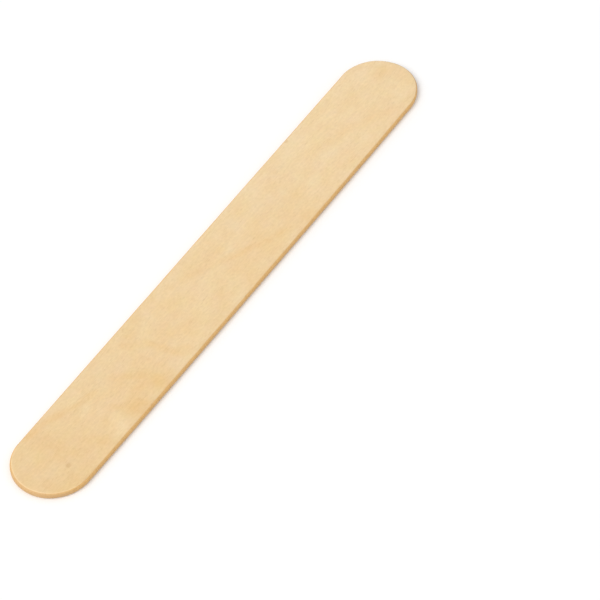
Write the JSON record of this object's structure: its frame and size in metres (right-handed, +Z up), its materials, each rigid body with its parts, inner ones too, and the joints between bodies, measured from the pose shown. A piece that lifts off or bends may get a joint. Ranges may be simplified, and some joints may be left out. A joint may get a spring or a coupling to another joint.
{
  "type": "tongue depressor",
  "caption": "Thin flat wooden blade with straight parallel sides, rounded ends and softly eased edges, for holding the tongue down.",
  "frame": {"origin": "middle of the lower face, which the blade rests on", "axes": "+X along the length, +Y across the width, +Z up, square to the two faces"},
  "size_m": [0.15, 0.018, 0.0016],
  "materials": {
    "birch": "plain pale birch veneer, uncoated and tumbled smooth, with a faint satin sheen and fine grain along the length"
  },
  "bodies": {
    "root": {"blade": "birch"}
  },
  "joints": []
}
